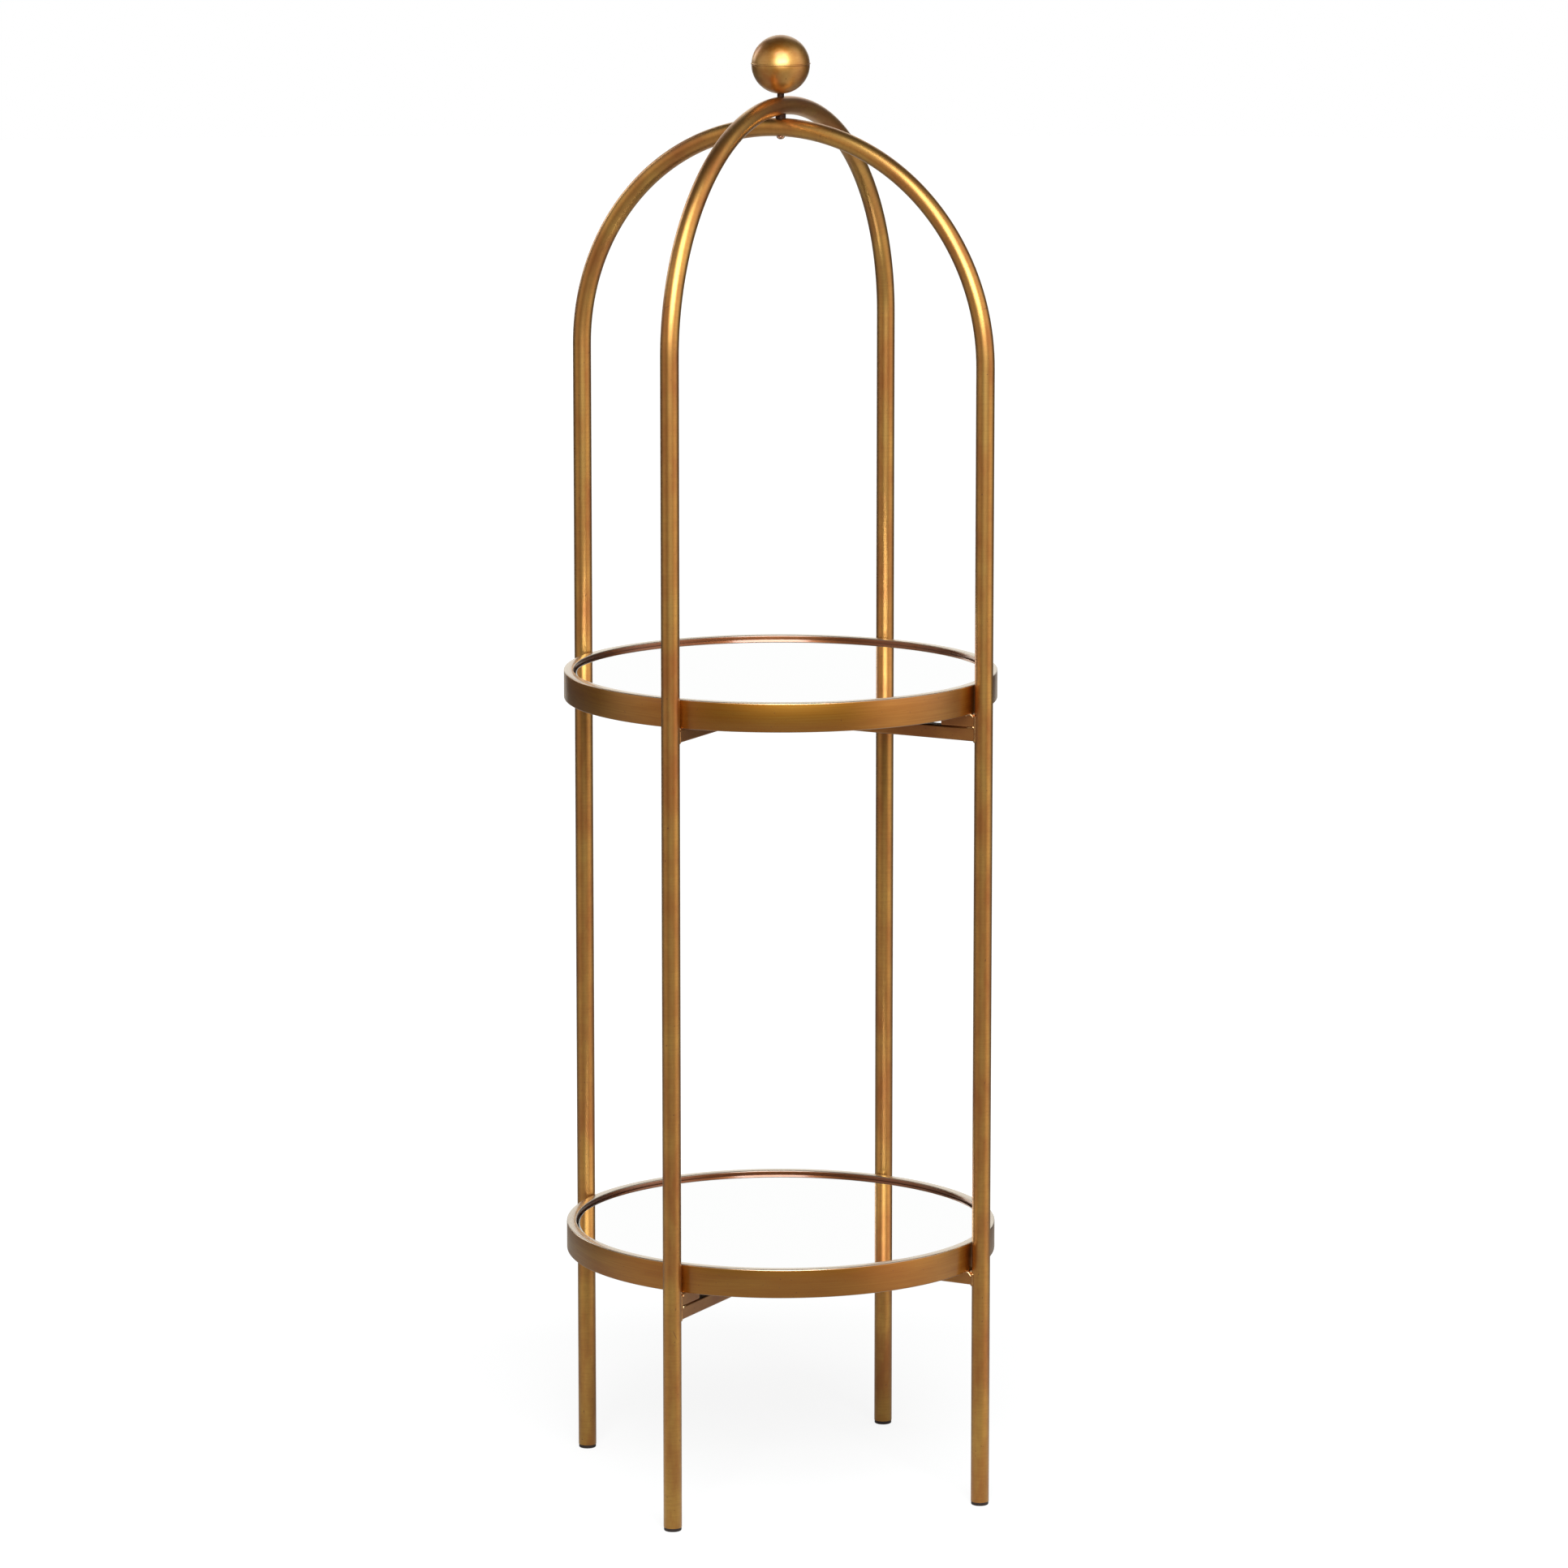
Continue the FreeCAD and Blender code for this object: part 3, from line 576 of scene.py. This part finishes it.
def plainFinish(name, colour, roughness, metallic, grain, change, bump):
    noise = plainNoise
    material, tree, shader = newMaterial(name, Metallic=metallic)
    place = objectPlace(tree)
    cloud = noiseOn(tree, place, grain, noise["cloudDetail"], noise["roughness"])
    fine = noiseOn(tree, place, grain * noise["fineScale"], noise["fineDetail"], noise["roughness"])
    darker = tuple(channel * (1.0 - change) for channel in colour) + (1.0,)
    lighter = tuple(min(1.0, channel * (1.0 + change)) for channel in colour) + (1.0,)
    clouded = between(tree, cloud, noise["cloudFrom"], noise["cloudTo"])
    tree.links.new(mixColours(tree, clouded, darker, lighter), shader.inputs["Base Color"])
    rough = between(tree, fine, noise["fineFrom"], noise["fineTo"], roughness - noise["smoother"],
                    roughness + noise["rougher"])
    tree.links.new(rough, shader.inputs["Roughness"])
    tree.links.new(bumpFrom(tree, fine, bump), shader.inputs["Normal"])
    return material


darkCollar = plainFinish("darkCollar", (0.035, 0.015, 0.008), roughness=0.5, metallic=0.8, grain=300.0,
                         change=0.3, bump=0.00002)
# brass screw, its tone made brighter and pinker as a painted reflection of the white mirror beneath
screwBrassAndSheen = plainFinish("screwBrassAndSheen", (0.80, 0.50, 0.36), roughness=0.20, metallic=1.0, grain=400.0,
                         change=0.25, bump=0.00001)
insertSteel = plainFinish("insertSteel", (0.45, 0.44, 0.42), roughness=0.35, metallic=1.0, grain=300.0,
                          change=0.15, bump=0.00001)
blackBoard = plainFinish("blackBoard", (0.012, 0.011, 0.010), roughness=0.6, metallic=0.0, grain=250.0,
                         change=0.3, bump=0.00006)
footPlastic = plainFinish("footPlastic", (0.022, 0.013, 0.012), roughness=0.45, metallic=0.0, grain=500.0,
                          change=0.25, bump=0.00003)

mirrorTones = {
    "silver": (0.975, 0.98, 0.975, 1.0), "ground": (0.62, 0.68, 0.66, 1.0),
    "face": 0.1789, "edge": 0.0001,             # radius of the clear face, width of the change beyond it
    "groundMetal": 0.4, "grain": 1800.0, "grainDetail": 2.0, "grainFrom": 0.2, "grainTo": 0.8,
    "smoothest": 0.2, "roughest": 0.4,
}


def mirrorGlass():
    tones = mirrorTones
    material, tree, shader = newMaterial("mirrorGlass", Metallic=1.0, Roughness=0.0)
    place = objectPlace(tree)
    x, y = axesOf(tree, place)[:2]
    edge = between(tree, lengthOf(tree, x, y), tones["face"], tones["face"] + tones["edge"])
    grain = noiseOn(tree, place, tones["grain"], tones["grainDetail"])
    rough = between(tree, grain, tones["grainFrom"], tones["grainTo"], tones["smoothest"], tones["roughest"])
    tree.links.new(mixColours(tree, edge, tones["silver"], tones["ground"]), shader.inputs["Base Color"])
    tree.links.new(between(tree, edge, 0.0, 1.0, 1.0, tones["groundMetal"]), shader.inputs["Metallic"])
    tree.links.new(calc(tree, "MULTIPLY", edge, rough), shader.inputs["Roughness"])
    return material


mirrorFinish = mirrorGlass()
finishes = {
    "tray_rim_upper": rimBrass, "tray_rim_lower": rimBrass, "mirror_upper": mirrorFinish,
    "mirror_lower": mirrorFinish, "tray_board_upper": blackBoard, "tray_board_lower": blackBoard,
    "finial_upper_shell": ballBrass, "finial_lower_shell": ballBrass, "finial_neck": darkCollar,
    "hoop_spacer": darkCollar, "finial_insert": insertSteel, "hoop_screw": screwBrassAndSheen,
    "hoop_tall": tallBrass, "hoop_low": lowBrass,
    "upper_bar_front_back": barBrassDeepShaded, "lower_bar_front_back": barBrassDeepShaded,
    "upper_bar_right_left": barBrassAcrossShaded, "lower_bar_right_left": barBrassAcrossShaded,
    "upper_tab_right": barBrassAcrossShaded, "upper_tab_left": barBrassAcrossShaded,
    "lower_tab_front": barBrassDeepShaded, "lower_tab_back": barBrassDeepShaded,
    "foot_front": footPlastic, "foot_back": footPlastic, "foot_right": footPlastic, "foot_left": footPlastic,
}
for name, finish in finishes.items():
    for materialSlot in frame["nodes"][name].material_slots:
        materialSlot.material = finish
print("finishes made")


# hoops: bent round tube

def extrudeLeg(rise):
    steps = hoopShape["legSteps"]
    for step in range(steps):
        bpy.ops.mesh.extrude_region_move(TRANSFORM_OT_translate={"value": (0.0, 0.0, rise / steps)})


def makeHoop(node):
    shape = hoopShape
    archHeight = shape["archHeight"][node]
    clearSelection()
    bpy.ops.mesh.primitive_circle_add(vertices=shape["ring"], radius=shape["radius"], fill_type="NOTHING",
                                      location=(shape["legCentre"], 0.0, shape["legEnd"]))
    hoop = bpy.context.object
    bpy.ops.object.transform_apply()
    startEditing()
    extrudeLeg(archHeight - shape["legEnd"])
    bpy.ops.mesh.spin(steps=shape["archSteps"], angle=pi, center=(0.0, 0.0, archHeight), axis=(0.0, 1.0, 0.0))
    extrudeLeg(shape["legEnd"] - archHeight)
    closeMesh()
    applyModifier(hoop, "SOLIDIFY", thickness=shape["wall"], offset=-1.0, use_even_offset=True)
    applyModifier(hoop, "BEVEL", width=shape["endBevel"], segments=shape["endSteps"], limit_method="ANGLE",
                  angle_limit=radians(shape["endAngle"]))
    hoop.rotation_euler = (0.0, 0.0, radians(shape["turn"][node]))
    finishPiece(hoop, node + "_tube", finishes[node], shape["smooth"])
    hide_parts(node)
    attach(hoop, "root")


for node in ("hoop_tall", "hoop_low"):
    makeHoop(node)
print("hoops bent")


# tray rims: upright rectangular tube rolled into a ring

def makeRim(node):
    shape = rimShape
    middle = (shape["outside"] - shape["thick"] / 2, 0.0, shape["base"][node] + shape["tall"] / 2)
    rim = startOutline((pi / 2, 0.0, 0.0), (shape["thick"], 1.0, shape["tall"]), middle,
                       shape["corner"], shape["cornerSteps"])
    bpy.ops.mesh.spin(steps=shape["steps"], angle=2 * pi, center=(0.0, 0.0, 0.0), axis=(0.0, 0.0, 1.0))
    closeMesh()
    applyModifier(rim, "SOLIDIFY", thickness=shape["wall"], offset=-1.0, use_even_offset=True)
    finishPiece(rim, node + "_ring", rimBrass, shape["smooth"])
    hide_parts(node)
    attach(rim, "root")


for node in ("tray_rim_upper", "tray_rim_lower"):
    makeRim(node)
print("rims rolled")


# ball: two half shells turned from a drawn profile

ballShape = {
    "height": 1.2624, "radius": 0.0254, "wall": 0.0012, "lip": 0.0005, "seam": 0.0014, "lipSteps": 8,
    "groove": 0.0006, "hole": 0.0023, "arcSteps": 40, "turnSteps": 112, "smooth": 40,
}


def drawLine(x, z):
    bpy.ops.mesh.extrude_vertices_move(TRANSFORM_OT_translate={"value": (x, 0.0, z)})


def drawArc(angle):
    bpy.ops.mesh.spin(steps=ballShape["arcSteps"], angle=angle, center=(0.0, 0.0, ballShape["height"]),
                      axis=(0.0, -1.0, 0.0))


def turnProfile():
    bpy.ops.mesh.select_all(action="SELECT")
    bpy.ops.mesh.spin(steps=ballShape["turnSteps"], angle=2 * pi, center=(0.0, 0.0, 0.0),
                      axis=(0.0, 0.0, 1.0))
    closeMesh()


def makeUpperShell():
    # from the top down the outside, round the proud lip at the seam, and back up the inside
    shape = ballShape
    radius, inside = shape["radius"], shape["radius"] - shape["wall"]
    lipAngle = acos(shape["seam"] / radius)
    shell = startPoint((0.0, 0.0, shape["height"] + radius))
    drawArc(lipAngle)
    last = (radius * sin(lipAngle), shape["seam"])
    for step in range(1, shape["lipSteps"]):
        turn = pi * step / shape["lipSteps"]
        point = (radius + shape["lip"] * sin(turn), shape["seam"] * (1 + cos(turn)) / 2)
        drawLine(point[0] - last[0], point[1] - last[1])
        last = point
    drawLine(radius - last[0], -last[1])
    drawLine(inside - radius, 0.0)
    drawArc(-pi / 2)
    turnProfile()
    return shell


def makeLowerShell():
    # from the screw's hole up the outside, in at the groove under the seam, and back down the inside
    shape = ballShape
    radius, inside, groove = shape["radius"], shape["radius"] - shape["wall"], shape["groove"]
    outerAngle, innerAngle = acos(shape["hole"] / radius), acos(shape["hole"] / inside)
    grooveAngle = asin(groove / radius)
    shell = startPoint((shape["hole"], 0.0, shape["height"] - radius * sin(outerAngle)))
    drawArc(grooveAngle - outerAngle)
    drawLine(radius - groove - radius * cos(grooveAngle), 0.0)
    drawLine(0.0, groove)
    drawLine(inside - radius + groove, 0.0)
    drawArc(innerAngle)
    drawLine(0.0, inside * sin(innerAngle) - radius * sin(outerAngle))
    turnProfile()
    return shell


for node, makeShell in (("finial_upper_shell", makeUpperShell), ("finial_lower_shell", makeLowerShell)):
    shell = makeShell()
    finishPiece(shell, node + "_turned", ballBrass, ballShape["smooth"])
    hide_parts(node)
    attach(shell, "root")
print("ball turned")


# welds: where the bars and tabs meet the legs

weldShape = {
    "bar": 0.012, "start": 0.185, "corner": 0.0016, "cornerSteps": 4, "cuts": 10, "reach": 0.012,
    "bead": 0.0013, "roundSteps": 3, "ripple": 0.0006, "grain": 0.0016, "smooth": 60,
    "topReach": 0.0086, "topSteps": 96, "topTurn": 38, "topBead": 0.0010,
    "runCuts": 3, "runBead": 0.0007,
    "fillBead": 0.0008, "fillFrom": 0.1866, "fillTo": 0.1922, "fillAcross": 0.0056,
}
barEnds = {                                     # rim above, turn about its middle, layers of bar and tab
    "upper_front": ("tray_rim_upper", -90, 1), "upper_back": ("tray_rim_upper", 90, 1),
    "upper_right": ("tray_rim_upper", 0, 2), "upper_left": ("tray_rim_upper", 180, 2),
    "lower_front": ("tray_rim_lower", -90, 2), "lower_back": ("tray_rim_lower", 90, 2),
    "lower_right": ("tray_rim_lower", 0, 1), "lower_left": ("tray_rim_lower", 180, 1),
}


def thickenSeam(weld, radius):
    bpy.ops.object.convert(target="CURVE")
    weld.data.bevel_depth = radius
    weld.data.bevel_resolution = weldShape["roundSteps"]
    weld.data.use_fill_caps = True
    bpy.ops.object.convert(target="MESH")
    startEditing()
    closeMesh()
    grain = bpy.data.textures.new("weldGrain", "CLOUDS")
    grain.noise_scale = weldShape["grain"]
    applyModifier(weld, "DISPLACE", texture=grain, strength=weldShape["ripple"], mid_level=0.5)


def finishWeld(weld, name, finish):
    finishPiece(weld, name, finish, weldShape["smooth"])
    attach(weld, "root")


def makeFillet(end):
    # round the sides and underside of the bar's end, laid on the leg
    shape = weldShape
    rim, turn, layers = barEnds[end]
    high = rimShape["base"][rim]
    tall = layers * shape["bar"]
    weld = startOutline((0.0, pi / 2, 0.0), (1.0, shape["bar"], tall),
                        (shape["start"], 0.0, high - tall / 2), shape["corner"], shape["cornerSteps"])
    bpy.ops.mesh.subdivide(number_cuts=shape["cuts"])
    deleteVertices(weld, lambda place: place.z > high - shape["corner"])
    stopEditing()
    weld.rotation_euler = (0.0, 0.0, radians(turn))
    bpy.ops.object.transform_apply()
    onTall = turn in (-90, 90)
    leg = bpy.data.objects["hoop_tall_tube" if onTall else "hoop_low_tube"]
    applyModifier(weld, "SHRINKWRAP", target=leg, wrap_method="PROJECT", use_project_x=not onTall,
                  use_project_y=onTall, use_positive_direction=True, use_negative_direction=True,
                  project_limit=shape["reach"])
    thickenSeam(weld, shape["bead"])
    finishWeld(weld, "weld_" + end, weldBrass)


def makeTopBead(end):
    # the short run of weld across the top, between the rim and the leg, pale partly as painted highlight
    shape = weldShape
    rim, turn = barEnds[end][:2]
    clearSelection()
    bpy.ops.mesh.primitive_circle_add(vertices=shape["topSteps"], radius=shape["topReach"],
                                      fill_type="NOTHING",
                                      location=(hoopShape["legCentre"], 0.0, rimShape["base"][rim]))
    bead = bpy.context.object
    bpy.ops.object.transform_apply()
    startEditing()
    limit = hoopShape["legCentre"] - shape["topReach"] * cos(radians(shape["topTurn"]))
    deleteVertices(bead, lambda place: place.x > limit)
    stopEditing()
    bead.rotation_euler = (0.0, 0.0, radians(turn))
    bpy.ops.object.transform_apply()
    thickenSeam(bead, shape["topBead"])
    finishWeld(bead, "weld_bead_" + end, beadBrassAndGlint)


def makeRun(name, turn, radius, points, finish):
    # the points are those of a joint at +X, turned about the trays' middle from there
    run = startPoint(points[0])
    for last, point in zip(points, points[1:]):
        move = [after - before for before, after in zip(last, point)]
        bpy.ops.mesh.extrude_vertices_move(TRANSFORM_OT_translate={"value": move})
    bpy.ops.mesh.select_all(action="SELECT")
    bpy.ops.mesh.subdivide(number_cuts=weldShape["runCuts"])
    stopEditing()
    run.rotation_euler = (0.0, 0.0, radians(turn))
    bpy.ops.object.transform_apply()
    thickenSeam(run, radius)
    finishWeld(run, "weld_run_" + name, finish)


weldRuns = {                                    # turn about the trays' middle, points along the run
    "upper_right_edge": (0, ((0.1852, -0.0062, 0.7064), (0.1868, -0.0064, 0.7077), (0.1902, -0.0066, 0.7079),
                             (0.1924, -0.0069, 0.7056))),
    "upper_right_drop": (0, ((0.1924, -0.0067, 0.6972), (0.1930, -0.0068, 0.6962))),
    "lower_right_edge": (0, ((0.1852, -0.0062, 0.2098), (0.1874, -0.0064, 0.2112), (0.1904, -0.0066, 0.2108),
                             (0.1928, -0.0069, 0.2078))),
    "lower_front_high": (-90, ((0.1904, 0.0065, 0.2098), (0.1916, 0.0067, 0.2084))),
    "lower_front_low": (-90, ((0.1906, 0.0065, 0.1992), (0.1914, 0.0067, 0.1980))),
}

for end in barEnds:
    makeFillet(end)
    makeTopBead(end)
# the bead-toned runs carry the same partly painted highlight
for name, (turn, points) in weldRuns.items():
    makeRun(name, turn, weldShape["runBead"], points, beadBrassAndGlint)
for end, (rim, turn, layers) in barEnds.items():
    if layers > 1:
        # the weld fills the groove between bar and tab beside the leg
        groove = rimShape["base"][rim] - weldShape["bar"]
        for hand, across in (("a", -weldShape["fillAcross"]), ("b", weldShape["fillAcross"])):
            points = ((weldShape["fillFrom"], across, groove), (weldShape["fillTo"], across, groove))
            makeRun(f"{end}_fill_{hand}", turn, weldShape["fillBead"], points, weldBrass)
print("bar ends welded")
